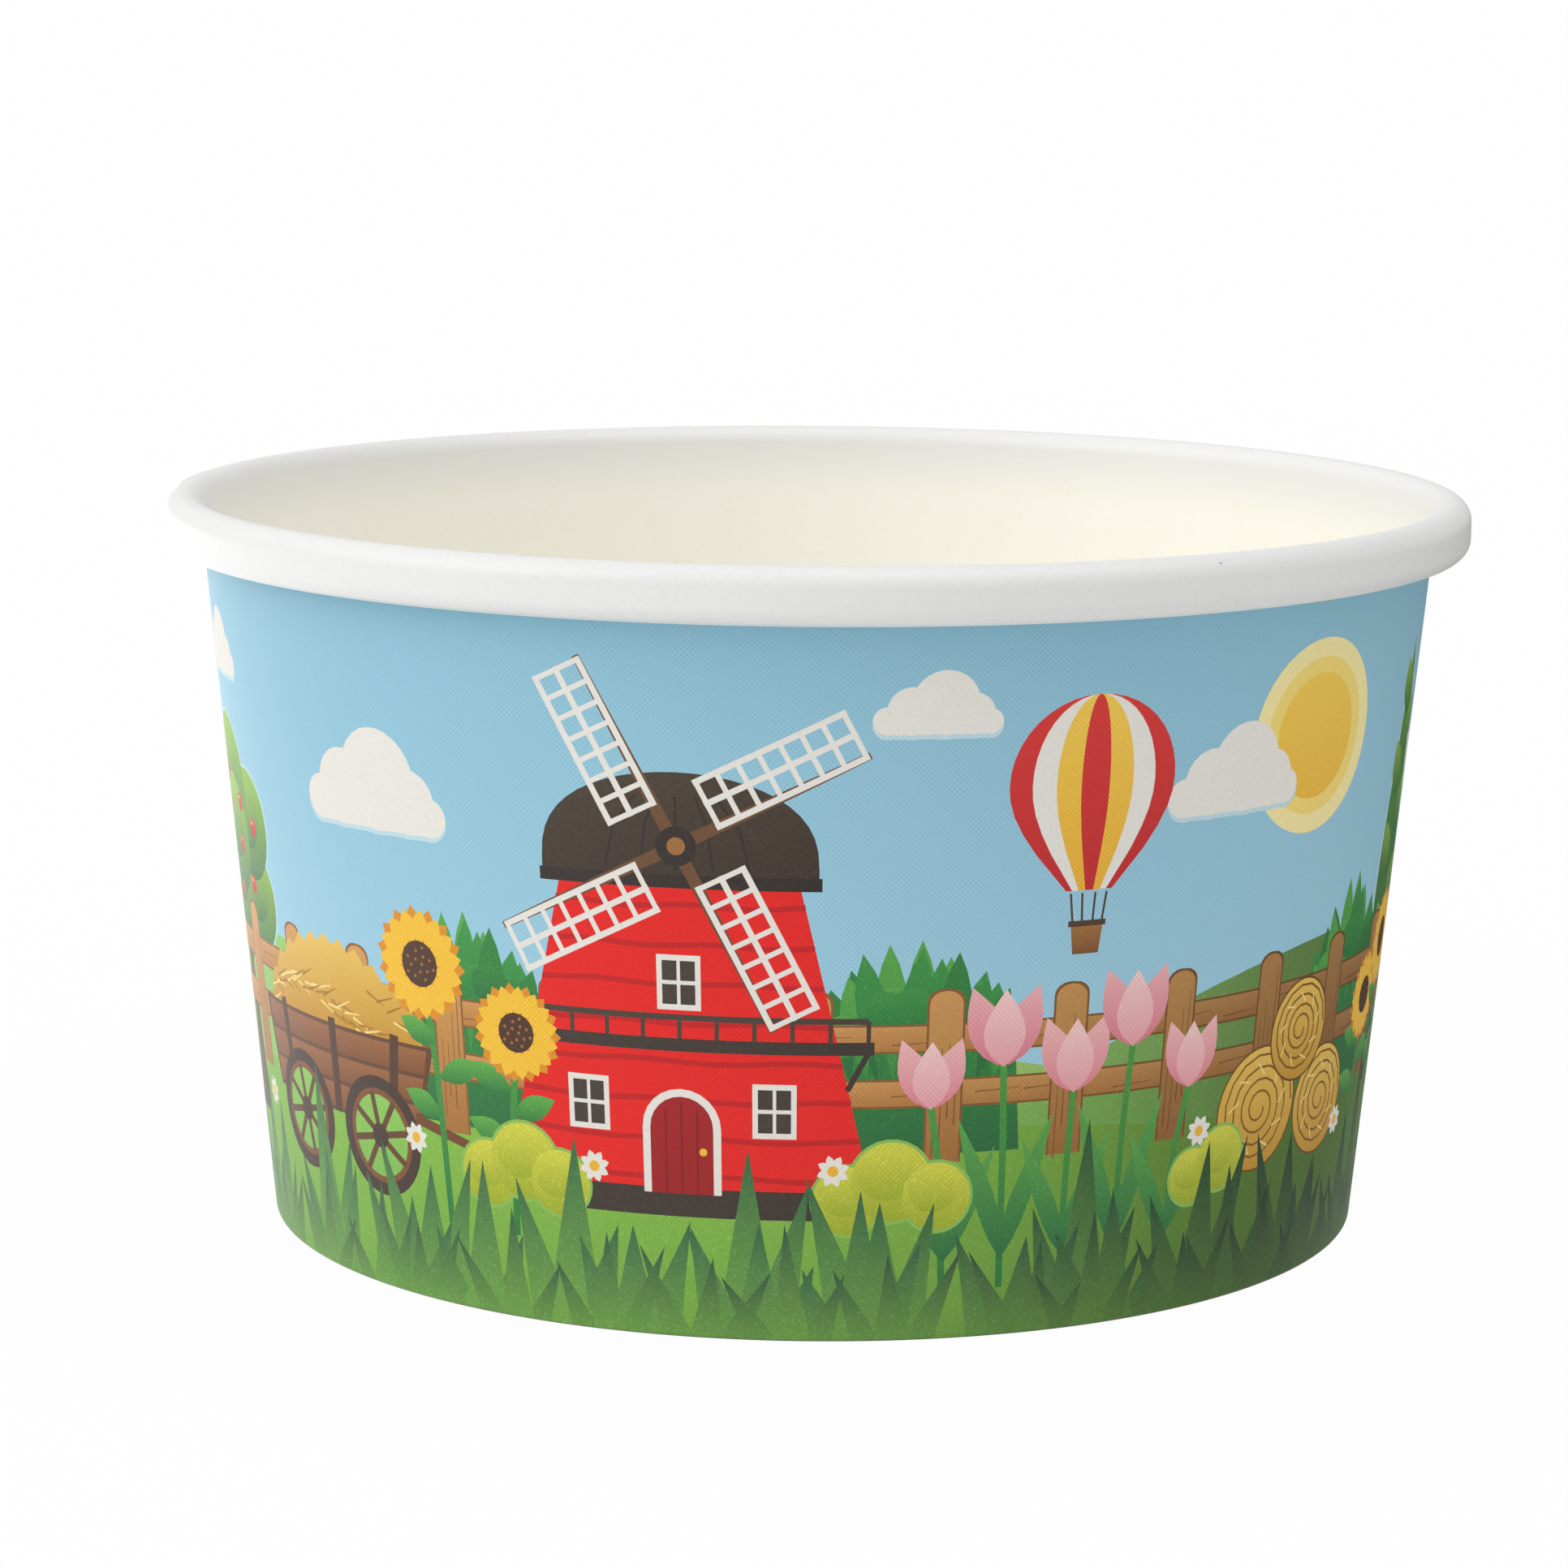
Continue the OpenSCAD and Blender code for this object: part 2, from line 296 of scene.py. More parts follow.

# Each face of the wall takes the board, the rim's white, the inside's film or the dark
# colour along the folded foot: the print's ink there, darkened with painted shade
white_board = board_material("white_board", "#EDEAE2", "#E6E2D8", 4200, 0.4, 0.6)
# The fold's colour is darker than the meadow's green: painted shade along the bottom edge, over the ink
# that runs round the fold
fold_ink_and_shade = board_material("fold_ink_and_shade", "#4A5138", "#667052", 4200, 0.4, 0.6)
wall_boards = [white_board, rim_board, inside_film, fold_ink_and_shade]
curl_start_z = cup_h - curl_h - 0.05 * MM
crown_z = cup_h - 0.8 * MM
film_low_z = 1 * MM
fold_ink_and_shade_z = 0.45 * MM
hem_ink_and_shade_z = 1.6 * MM
wall.data.materials.clear()
for material in wall_boards:
    wall.data.materials.append(material)
for face in wall.data.polygons:
    radius, z = face.center.xy.length, face.center.z
    inside = face.normal.xy.dot(face.center.xy) < 0
    on_wall = radius > cone_radius(z, board_t * 1.6)
    on_curl = radius > cone_radius(z, -board_t) or z > crown_z
    if z > curl_start_z and on_curl:
        face.material_index = wall_boards.index(rim_board)
    elif inside and on_wall and z > film_low_z:
        face.material_index = wall_boards.index(inside_film)
    elif z < fold_ink_and_shade_z or (z < hem_ink_and_shade_z and not on_wall):
        face.material_index = wall_boards.index(fold_ink_and_shade)
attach(wall, "root")
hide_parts("cup_wall")

# Base: one punched disc of thinner board. Its edge is pressed down into a flange,
# which the folded foot of the wall grips.
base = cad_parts["cup_base"]
base_board = board_material("base_board", "#F5F3E9", "#F2F0E4", 2200, 0.15, 0.45, 0.1)
base.data.materials.clear()
base.data.materials.append(base_board)

# Print: flat inks on the blank's outer face, put on before it is cut and rolled. The
# picture is drawn in millimetres round the wall and up it, with later marks over
# earlier ones. It goes twice round the cup, and what no ink covers is bare board.
ink_t = 0.008 * MM
# The inks stop just above the foot, so that the fold's dark colour, partly painted shade, shows as a thin
# line along the bottom edge
print_low = 0.1
print_high = (cup_h - curl_h) / MM + 0.1
mid_radius = cone_radius(25 * MM) / MM
girth = 2 * math.pi * mid_radius
repeat = girth / 2
front_angle = -math.pi / 2
bare = ("bare",) * 3
marks = []


def ink(family, low_colour, high_colour=None):
    """An ink of one family, shaded evenly from the bottom of each mark to its top."""
    return family, linear(low_colour), linear(high_colour or low_colour)


def mark(colours, outline):
    """Lays one closed outline in every repeat of the picture."""
    for turn in (-1, 0, 1):
        marks.append((colours, [(s + turn * repeat, z) for s, z in outline]))


def oval(s, z, wide, tall=None, tilt=0.0, count=26):
    """An oval of the given half width and half height, turned by tilt degrees."""
    tall = tall or wide
    c, d = math.cos(math.radians(tilt)), math.sin(math.radians(tilt))
    turns = [2 * math.pi * i / count for i in range(count)]
    level = [(wide * math.cos(turn), tall * math.sin(turn)) for turn in turns]
    return [(s + a * c - b * d, z + a * d + b * c) for a, b in level]


def panel(s, low_half, low_z, high_half, high_z):
    """A level foot and a level head, each of its own half width, and straight sides."""
    return [(s - low_half, low_z), (s + low_half, low_z), (s + high_half, high_z), (s - high_half, high_z)]


def bar(start, end, width, end_width=None):
    """A straight bar between two points."""
    start, end = Vector(start), Vector(end)
    side = (end - start).normalized().orthogonal() / 2
    end_width = width if end_width is None else end_width
    return [tuple(p) for p in (start + side * width, start - side * width,
                               end - side * end_width, end + side * end_width)]


def leaf(root, tip, width, bend=0.0, fullest=0.0, count=7):
    """A blade or petal from root to tip, bent to one side, and fullest part way or at its root."""
    root, tip = Vector(root), Vector(tip)
    side = (tip - root).normalized().orthogonal()
    left, right = [], []
    for i in range(count + 1):
        t = i / count
        middle = root.lerp(tip, t) + side * bend * math.sin(math.pi * t * 0.5) * t
        if fullest:
            half = width / 2 * math.sin(math.pi * t ** (math.log(0.5) / math.log(fullest)))
        else:
            half = width / 2 * (1 - t)
        left.append(middle + side * half)
        right.append(middle - side * half)
    if fullest:
        right = right[1:]
    return [tuple(p) for p in left[:-1] + right[::-1]]


def stroke(points, width):
    """A drawn line of one width along its points."""
    points = [Vector(p) for p in points]
    left, right = [], []
    for i, p in enumerate(points):
        along = (points[min(i + 1, len(points) - 1)] - points[max(i - 1, 0)]).normalized()
        left.append(p + along.orthogonal() * width / 2)
        right.append(p - along.orthogonal() * width / 2)
    return [tuple(p) for p in left + right[::-1]]


def arch(s, z, half_width, side_h, count=12):
    """A doorway outline with a round head, standing on z."""
    turns = [math.pi * i / count for i in range(count + 1)]
    head = [(s + half_width * math.cos(turn), z + side_h + half_width * math.sin(turn)) for turn in turns]
    return [(s - half_width, z), (s + half_width, z)] + head


def jitter(number, spread):
    """A steady, uneven offset for the marks of a row."""
    return spread * math.sin(number * 12.9898 + 1.7 * math.cos(number * 4.13))


# Sky, far hills and meadow
# The sky is paler low down and darker at the top: partly the print's own gradient, partly painted shade
# under the rim
mark(ink("blue", "#A4D2E6", "#8FC3D7"), panel(0, repeat / 2, 14, repeat / 2, print_high + 1))
for s, z, wide, tall, low_colour, high_colour in (
        (-52, 6, 34, 17.5, "#6FA94E", "#8CBF63"), (46, 5, 38, 20, "#73AD52", "#93C46A"),
        (-4, 4, 42, 17, "#7DB556", "#A2CC70"), (24, 2, 34, 16.5, "#69A548", "#86BC5C")):
    mark(ink("green", low_colour, high_colour), oval(s, z, wide, tall, count=72))
mark(ink("green", "#73A244", "#7FB243"), [(-repeat / 2, print_low - 1), (repeat / 2, print_low - 1)] + [
    (repeat / 2 - repeat * i / 48, 14.2 + 0.7 * math.sin(i * math.pi / 8)) for i in range(49)])


def cloud(s, z, size, lumps=((-5.4, 1.7), (-2.6, 2.9), (1.2, 3.9), (4.4, 2.5), (6.4, 1.5))):
    """A flat-bottomed cloud of bare board, with a faint lower edge."""
    for colours, drop in ((ink("blue", "#C4DEE8"), -0.3), (bare, 0)):
        for ds, r in lumps:
            mark(colours, oval(s + ds * size, z + r * size * 0.97 + drop, r * size))
        left, right = lumps[0][0], lumps[-1][0]
        mark(colours, [(s + (left - 0.4) * size, z + drop), (s + (right + 0.4) * size, z + drop),
                       (s + right * size, z + 2 * size + drop), (s + left * size, z + 2 * size + drop)])


def sun(s, z, r):
    """A low sun: a disc and two paler rings."""
    mark(ink("yellow", "#F8E9A6"), oval(s, z, r * 1.55, count=40))
    mark(ink("yellow", "#F7DC78"), oval(s, z, r * 1.25, count=40))
    mark(ink("yellow", "#F2BE3E", "#F6CE52"), oval(s, z, r, count=40))


gore_edge = ((0.985, 0.16), (0.93, 0.34), (0.82, 0.55), (0.66, 0.78), (0.47, 1.0), (0.28, 1.22))


def balloon(s, z, r):
    """A hot-air balloon: nested gores, four ropes and a basket."""
    red, yellow = ink("red", "#C92B2E", "#DE3A36"), ink("yellow", "#EFB437", "#F6CE52")
    rope = ink("brown", "#5A4636")
    turns = [math.pi * k / 20 for k in range(21)]
    for gore, share in ((red, 1), (bare, 0.74), (yellow, 0.46), (red, 0.17)):
        wide = r * share
        crown = [(s + wide * math.cos(turn), z + r * math.sin(turn)) for turn in turns]
        left_edge = [(s - wide * a, z - r * b) for a, b in gore_edge]
        right_edge = [(s + wide * a, z - r * b) for a, b in gore_edge[::-1]]
        mark(gore, crown + left_edge + right_edge)
    for side in (-0.22, -0.08, 0.08, 0.22):
        mark(rope, bar((s + side * r, z - r * 1.25), (s + side * r * 0.8, z - r * 1.62), 0.16))
    mark(ink("brown", "#8A5A30", "#B07A44"), [(s - r * 0.2, z - r * 1.6), (s - r * 0.16, z - r * 1.95),
                                              (s + r * 0.16, z - r * 1.95), (s + r * 0.2, z - r * 1.6)])
    mark(rope, bar((s - r * 0.23, z - r * 1.6), (s + r * 0.23, z - r * 1.6), 0.4))


sun(38, 39.5, 4.4)
cloud(-33, 33.2, 0.92)
cloud(29.8, 35.2, 0.8)
cloud(-56, 41, 0.62)
cloud(7.5, 41.9, 0.56)
cloud(60, 33, 0.66)
balloon(18.5, 38.2, 6.0)


pale_edge = "#BFDDE0"


def clumps(s, z, parts, shadow, light, edge=pale_edge):
    """Foliage in round clumps, each lit from above, with a pale edge against the sky."""
    for ds, dz, r in parts:
        mark(ink("blue", edge), oval(s + ds, z + dz, r + 0.22))
    for ds, dz, r in parts:
        mark(ink("leaf", shadow, light), oval(s + ds, z + dz, r))
        mark(ink("leaf", shadow, light), oval(s + ds - r * 0.12, z + dz + r * 0.2, r * 0.72, r * 0.66))


def poplar(s, z, tall, wide):
    """A tall, narrow tree of overlapping leafy lobes on a short trunk."""
    mark(ink("brown", "#5B4332"), bar((s, z - 2), (s, z + 4), 1.3))
    mark(ink("blue", pale_edge), leaf((s, z), (s, z + tall + 0.5), wide + 0.7, fullest=0.36, count=16))
    mark(ink("leaf", "#2E6A3E", "#5E9B45"), leaf((s, z + 0.2), (s, z + tall), wide, fullest=0.36, count=16))
    for i in range(9):
        up = z + 2.2 + i * tall / 10.5
        reach = wide * 0.3 * math.sin(math.pi * (0.16 + 0.082 * i)) * (1 if i % 2 else -1)
        start, end = (s + reach * 0.3, up - 0.8), (s + reach * 1.25, up + 3.6)
        mark(ink("leaf", "#34733E", "#8DB544"), leaf(start, end, wide * 0.36, fullest=0.5))


def apple_tree(s, z):
    """A round orchard tree with red apples and a forked trunk."""
    trunk = [(s - 2.1, z - 6), (s - 1.0, z + 5), (s - 4.2, z + 10), (s - 3.2, z + 10.4), (s, z + 6.4),
             (s + 3.4, z + 10.6), (s + 4.4, z + 10), (s + 1.2, z + 5), (s + 2.2, z - 6)]
    mark(ink("brown", "#4C382B", "#6B4E38"), trunk)
    crown = ((-6.4, -3.2, 3.6), (6.2, -3.4, 3.7), (0, -2.6, 4.6), (-5.2, 2.2, 4.2),
             (5.4, 2.0, 4.1), (0.2, 4.6, 4.8), (0.4, 0.6, 4.4))
    clumps(s, z + 14, crown, "#2C6B3B", "#8FBA3F")
    for i in range(10):
        angle, reach = i * 2.4, 2.2 + 5.2 * math.sqrt(i / 10)
        across, up = reach * math.cos(angle), reach * 0.8 * math.sin(angle)
        mark(ink("red", "#B9242C", "#DE3A36"), oval(s + across, z + 14 + up, 0.72, count=14))
        mark(bare, oval(s + across - 0.25, z + 14.3 + up, 0.17, count=8))


poplar(55.5, 13.5, 31, 7.4)
poplar(62.5, 14, 25, 6.2)
apple_tree(-57, 14.5)


def shrub(s, z, wide, count):
    """A shrub of pointed leaves behind the fence."""
    tones = (("#2C7A3C", "#3F9448"), ("#3B8B40", "#5BA84A"), ("#2A6C3C", "#35853F"))
    mark(ink("leaf", *tones[2]), panel(s, wide * 0.46, 13.2, wide * 0.42, z - 0.6))
    for i in range(count):
        share = (i * 0.618) % 1
        start = (s + wide * (share - 0.5) * 0.8, z - 3)
        up = 4.2 + 5.2 * math.sin(math.pi * share) + jitter(i, 0.9)
        end = (s + wide * (share - 0.5) * 1.1 + jitter(i * 3, 0.6), z - 3 + up)
        tone = ink("leaf", *tones[i % 3])
        mark(tone, leaf(start, end, 2.1, bend=jitter(i * 5, 0.5), fullest=0.6))
        mark(tone, oval(start[0], z - 1.2 + up * 0.35, 1.5, count=12))


shrub(-24.5, 21.6, 13, 15)
shrub(7.5, 21.2, 15, 17)
shrub(47.5, 21.8, 12, 14)

# Post-and-rail fence
wood_line = ink("brown", "#8A5A2E")
rail_grains = 26
for up in (16.6, 20.4):
    mark(wood_line, panel(0, repeat / 2, up - 0.15, repeat / 2, up + 1.85))
    mark(ink("brown", "#B37B41", "#C99355"), panel(0, repeat / 2, up, repeat / 2, up + 1.7))
    for i in range(rail_grains):
        start = -repeat / 2 + i * repeat / rail_grains + jitter(i, 0.9)
        rise = jitter(i + up, 0.3)
        mark(wood_line, bar((start, up + 0.6 + rise), (start + 3.2, up + 0.75 + rise), 0.1, 0.04))
posts = 15
post_half = 1.15
for i in range(posts):
    s = -repeat / 2 + (i + 0.5) * repeat / posts
    post = [(s - post_half, 12.6), (s + post_half, 12.6)]
    head = [(s + post_half * math.cos(math.pi * k / 8), 23.6 + 0.9 * math.sin(math.pi * k / 8))
            for k in range(9)]
    mark(wood_line, [(a + (0.16 if a > s else -0.16), b + (0.16 if b > 20 else 0)) for a, b in post + head])
    mark(ink("brown", "#A46F38", "#CE9857"), post + head)
    for k in range(4):
        grain_s = s - 0.75 + 0.5 * k
        start = (grain_s, 13.2 + jitter(i + k, 1) + k)
        end = (grain_s + 0.06, 19 + k + jitter(i * 3 + k, 1.5))
        mark(wood_line, bar(start, end, 0.12, 0.05))


def windmill(s, z):
    """A tapered, planked tower mill with a gallery, a dark cap and four lattice sails."""
    tall, foot, top = 23.0, 13.4, 8.0

    def edge(up):
        return foot + (top - foot) * up / tall

    iron, timber, pitch = ink("dark", "#3E342D"), ink("dark", "#4A3D34"), ink("dark", "#2F2722")
    mark(ink("red", "#E92622", "#E7221E"), panel(s, foot, z, top, z + tall))
    for i in range(8):
        up = 2.4 + i * 2.68
        half = edge(up)
        plank = [(s - half + 2 * half * k / 10, z + up + 0.12 * math.sin(k * 1.3 + i)) for k in range(11)]
        mark(ink("red", "#C41E20"), stroke(plank, 0.38))
    mark(iron, panel(s, foot + 0.5, z - 0.4, edge(1.6) + 0.3, z + 1.6))
    mark(bare, arch(s, z + 1.2, 2.75, 4.6))
    mark(ink("red", "#9E2022", "#A42124"), arch(s, z + 1.2, 2.2, 4.6))
    for k in (-1.1, 0, 1.1):
        mark(ink("red", "#84181B"), bar((s + k, z + 1.2), (s + k, z + 7.6 - abs(k) * 0.4), 0.14))
    mark(ink("yellow", "#F2BE3E"), oval(s + 1.5, z + 4.2, 0.28, count=10))
    for ds, up in ((-6.6, 7.2), (6.4, 7.2), (0, 15.9)):
        mark(bare, panel(s + ds, 1.5, z + up - 1.9, 1.5, z + up + 1.9))
        for a, b in ((-0.62, -0.82), (-0.62, 0.82), (0.62, -0.82), (0.62, 0.82)):
            pane = panel(s + ds + a, 0.5, z + up + b - 0.68, 0.5, z + up + b + 0.68)
            mark(ink("dark", "#453A33"), pane)
    deck = 11.6
    half = edge(deck) + 2.0
    for k in range(-5, 6):
        mark(timber, bar((s + k * half / 5, z + deck), (s + k * half / 5, z + deck + 1.9), 0.3))
    mark(timber, bar((s - half, z + deck + 1.9), (s + half, z + deck + 1.9), 0.42))
    mark(iron, bar((s - half - 0.4, z + deck), (s + half + 0.4, z + deck), 0.9))
    for side in (-1, 1):
        brace_foot = (s + side * edge(deck - 2.6), z + deck - 2.9)
        mark(iron, bar((s + side * half, z + deck - 0.3), brace_foot, 0.4))
    turns = [math.pi * k / 24 for k in range(25)]
    cap = [(s + (top + 1.3) * math.cos(turn), z + tall + 0.8 + 6.4 * math.sin(turn) ** 0.8)
           for turn in turns]
    eaves = [(s - top - 1.3, z + tall - 0.6), (s + top + 1.3, z + tall - 0.6)]
    mark(ink("dark", "#3A2F25", "#463A2E"), cap + eaves)
    mark(pitch, bar((s - top - 1.5, z + tall - 0.2), (s + top + 1.5, z + tall - 0.2), 0.9))
    for k in (-2, -1, 0, 1, 2):
        seam = [(s + k * 2.4, z + tall + 0.6), (s + k * 2.1, z + tall + 3.4), (s + k * 1.3, z + tall + 5.6)]
        mark(pitch, stroke(seam, 0.16))
    hub = Vector((s, z + tall + 2.2))
    for arm in range(4):
        angle = math.radians(27 + arm * 90)
        out = Vector((math.cos(angle), math.sin(angle)))
        side = Vector((-out.y, out.x))

        def at(reach, across):
            return tuple(hub + out * reach + side * across)

        mark(ink("brown", "#6B4A30"), bar(at(0, 0), at(14.0, 0), 0.9, 0.5))
        for across in (0.0, 1.7, 3.3):
            mark(bare, bar(at(3.0, across), at(13.9, across), 0.42))
        for k in range(8):
            reach = 3.2 + k * 1.5
            mark(bare, bar(at(reach, 0), at(reach, 3.3), 0.36))
    mark(pitch, oval(hub.x, hub.y, 1.35))
    mark(ink("brown", "#9A6A3A"), oval(hub.x, hub.y, 0.62, count=14))


windmill(-9, 9.0)


def hay_bale(s, z, r):
    """A round bale, end on, wound in a spiral."""
    mark(ink("brown", "#8A5F22"), oval(s, z, r + 0.16, count=36))
    mark(ink("yellow", "#C8952F", "#E9C05A"), oval(s, z, r, count=36))
    winds = [(r * 0.94 * (1 - k / 70), k * 0.42) for k in range(66)]
    spiral = [(s + reach * math.cos(angle), z + reach * math.sin(angle)) for reach, angle in winds]
    for k in range(0, 60, 3):
        mark(ink("brown", "#A5742A"), stroke(spiral[k:k + 4], 0.17))
    for k in range(9):
        turn, end_turn = k * 0.7, k * 0.7 + 0.3
        start = (s + r * 0.55 * math.cos(turn), z + r * 0.55 * math.sin(turn))
        end = (s + r * 0.75 * math.cos(end_turn), z + r * 0.75 * math.sin(end_turn))
        mark(ink("yellow", "#F4D983"), bar(start, end, 0.14))


hay_bale(35.6, 13.4, 4.4)
hay_bale(44.2, 12.6, 3.9)
hay_bale(40.0, 18.4, 3.6)


def hay_cart(s, z):
    """A planked two-wheeled cart heaped with hay."""
    board, shade = ink("brown", "#7A4B2A", "#94603A"), ink("brown", "#5F3C22")
    tyre, meadow = ink("dark", "#3E2A1E"), ink("green", "#79B04F", "#86BB57")
    crest = [(s - 10.4 + 20.8 * k / 22,
              z + 9.6 + 6.2 * math.sin(math.pi * k / 22) ** 0.6 + (0.5 if k % 2 else -0.2))
             for k in range(23)]
    mark(ink("yellow", "#C28C2B", "#EBC360"), [(s - 10.6, z + 9)] + crest + [(s + 10.6, z + 9)])
    for k in range(46):
        share = (k * 0.618) % 1
        heap_h = 5.0 * ((k * 0.377) % 1) * math.sin(math.pi * (0.08 + 0.84 * share))
        a, b = s - 9.2 + 18.4 * share, z + 9.6 + heap_h
        tone = ("#F6DC8A", "#A87824")[k % 2]
        mark(ink("yellow", tone), bar((a - 0.9, b), (a + 0.9, b + jitter(k, 0.8)), 0.2, 0.08))
    mark(shade, [(s - 10.2, z + 3.4), (s + 9.4, z + 3.4), (s + 11.2, z + 9.8), (s - 12.0, z + 9.8)])
    for k in range(3):
        low = z + (3.7 + k * 2.03)
        high = low + 1.75
        grow = 0.9 * k / 3 * 1.6
        mark(board, [(s - 10.0 - grow, low), (s + 9.2 + grow, low),
                     (s + 9.6 + grow, high), (s - 10.4 - grow, high)])
    for k in (-7, 0, 6.6):
        mark(ink("brown", "#4B2F1D"), bar((s + k, z + 3.4), (s + k * 1.12, z + 10.2), 0.9))
    mark(ink("brown", "#6E4426"), bar((s + 9, z + 4.6), (s + 17, z + 2.6), 0.8, 0.6))
    for ds in (-5.2, 5.0):
        hub = (s + ds, z + 2.6)
        mark(tyre, oval(*hub, 4.3, count=36))
        mark(ink("brown", "#7A4B2A"), oval(*hub, 3.4, count=36))
        mark(meadow, oval(*hub, 2.95, count=36))
        for k in range(4):
            spoke = Vector((math.cos(k * math.pi / 4 + 0.2), math.sin(k * math.pi / 4 + 0.2))) * 3.1
            mark(shade, bar(Vector(hub) - spoke, Vector(hub) + spoke, 0.5))
        mark(tyre, oval(*hub, 0.9, count=16))


hay_cart(-39.5, 8.5)


def sunflower(s, z, tall, r, lean_by=0.0):
    """A sunflower with two rings of petals and a seeded heart."""
    top = (s + lean_by, z + tall)
    heart = Vector(top)
    stalk = [(s, z - 3), (s + lean_by * 0.3, z + tall * 0.5), top]
    mark(ink("leaf", "#2F7A3C", "#4F9A45"), stroke(stalk, 0.55))
    for side, up in ((-1, 0.3), (1, 0.48), (-1, 0.64)):
        start, end = (s + lean_by * up * 0.5, z + tall * up), (s + side * 3.6, z + tall * up + 1.5)
        mark(ink("leaf", "#2F7A3C", "#63AC4C"), leaf(start, end, 1.8, fullest=0.5))
    petals, seeds = 15, 14
    for colour, reach, turn in (("#DE9226", 1.0, 0.0), ("#F5C23C", 0.94, 0.2)):
        for k in range(petals):
            angle = k * 2 * math.pi / petals + turn
            out = Vector((math.cos(angle), math.sin(angle)))
            petal = leaf(heart + out * r * 0.3, heart + out * r * reach, r * 0.36, fullest=0.55, count=6)
            mark(ink("yellow", colour), petal)
    mark(ink("dark", "#4A2F1E"), oval(*top, r * 0.4, count=20))
    for k in range(seeds):
        angle, reach = k * 2.4, r * 0.33 * math.sqrt((k + 0.5) / seeds)
        seed = oval(top[0] + reach * math.cos(angle), top[1] + reach * math.sin(angle), 0.13, count=6)
        mark(ink("brown", "#A0662F"), seed)


def tulip(s, z, tall, size, dark, light, lean_by=0.0):
    """A tulip with three petals, a stalk and two long leaves."""
    top = Vector((s + lean_by, z + tall))
    stalk = [(s, z - 3), (s + lean_by * 0.4, z + tall * 0.55), tuple(top)]
    mark(ink("leaf", "#2F7A3C", "#4F9A45"), stroke(stalk, 0.5))
    for side in (-1, 1):
        blade = leaf((s, z - 1), (s + side * 2.6, z + tall * 0.72), 1.5, bend=-side * 0.9, fullest=0.4)
        mark(ink("leaf", "#2B7040", "#5FA84E"), blade)
    for side in (-1, 1):
        start, end = top + Vector((side * 0.3, -0.3)) * size, top + Vector((side * 1.5, 4.4)) * size
        mark(ink("pink", dark, light), leaf(start, end, 2.3 * size, bend=-side * 0.5 * size, fullest=0.42))
    start, end = top + Vector((0, -0.4)) * size, top + Vector((0, 4.1)) * size
    mark(ink("pink", "#E9A0A6", "#F6CFCC"), leaf(start, end, 2.5 * size, fullest=0.42))


def daisy(s, z, r):
    """A small daisy of bare-board petals round a yellow heart."""
    for k in range(8):
        out = Vector((math.cos(k * math.pi / 4 + 0.3), math.sin(k * math.pi / 4 + 0.3)))
        mark(bare, leaf(Vector((s, z)), Vector((s, z)) + out * r, r * 0.52, fullest=0.6, count=5))
    mark(ink("yellow", "#F0B838"), oval(s, z, r * 0.34, count=10))


sunflower(-27.6, 9, 15.2, 4.1, -1.4)
sunflower(-21.8, 9, 11.4, 3.5, 0.8)
sunflower(51.6, 9, 9.6, 3.4, 0.6)
sunflower(57.4, 9, 13.0, 3.8, -0.6)
for s, tall, size, lean_by in ((9.2, 10.2, 1.05, -1.2), (13.4, 13.0, 1.2, -0.4), (18.0, 10.8, 1.15, 0.3),
                               (22.2, 13.6, 1.2, 0.6), (26.6, 10.0, 1.05, 1.4)):
    petal_dark, petal_light = ("#DF8290", "#F2BBBA") if tall < 12 else ("#D9798A", "#EFB2B4")
    tulip(s, 6.5, tall, size, petal_dark, petal_light, lean_by)
for s, z, bushes in ((-21.5, 10.2, ((-2.4, 0, 2.3), (0.6, 1.2, 2.7), (3.4, 0, 2.3))),
                     (5.0, 10.0, ((-2.6, 0, 2.4), (0.4, 1.3, 2.8), (3.6, 0.2, 2.4))),
                     (31.0, 9.6, ((-2.0, 0, 2.0), (0.8, 0.9, 2.3)))):
    clumps(s, z, bushes, "#9DAE2E", "#D3D24A", edge="#8DBE5C")
for i, s in enumerate((-62, -52.6, -30.6, -15.4, 1.4, 29.4, 48.0, 63.2)):
    daisy(s, 11.4 + jitter(i, 1.4), 1.15)

# Grass along the foot, in tufts that fade into the ground
grass_rows = ((11, 13.6, 5.0, 1.6, "#2F5F3E"), (14, 10.4, 4.8, 0.6, "#336040"),
              (18, 7.2, 3.2, 1.2, "#2E4F3A"))
tuft = ((-3.1, 0.76, 0.8), (2.8, 0.76, 0.8), (0.0, 1, 1))
for row, (count, tall, wide, root, tip) in enumerate(grass_rows):
    for i in range(count):
        s = -repeat / 2 + (i + 0.5 * (row % 2)) * repeat / count + jitter(i + row * 31, 1.6)
        for k, (spread, up_share, wide_share) in enumerate(tuft):
            up = tall * (0.8 + 0.2 * math.sin(i * 2.3 + k * 1.9 + row)) * up_share
            start = (s + spread * 0.5, root - 2.5)
            end = (s + spread * 1.25 + jitter(i + k * 7, 0.6), root + up)
            mark(ink("blade", "#74A548", tip), leaf(start, end, wide * wide_share, bend=-spread * 0.25))


deepest_s = 44
washed = {"green": 1, "blade": 1, "brown": 0.5}


def wash(s):
    """How much light the ground's inks give round the picture: deep at the right, else pale."""
    return 1.12 - 0.7 * (0.5 + 0.5 * math.cos(2 * math.pi * (s - deepest_s) / repeat)) ** 2.2


print_first = (lap_angle + seam_angle - front_angle - 2 * math.pi) * mid_radius
facets = round(math.pi / roll_step)
bend_r = (fold_r + board_t / 2) / MM
bend_top = bend_r * (1 - math.sin(lean))
bend_steps = 6
same_angle = 1e-6


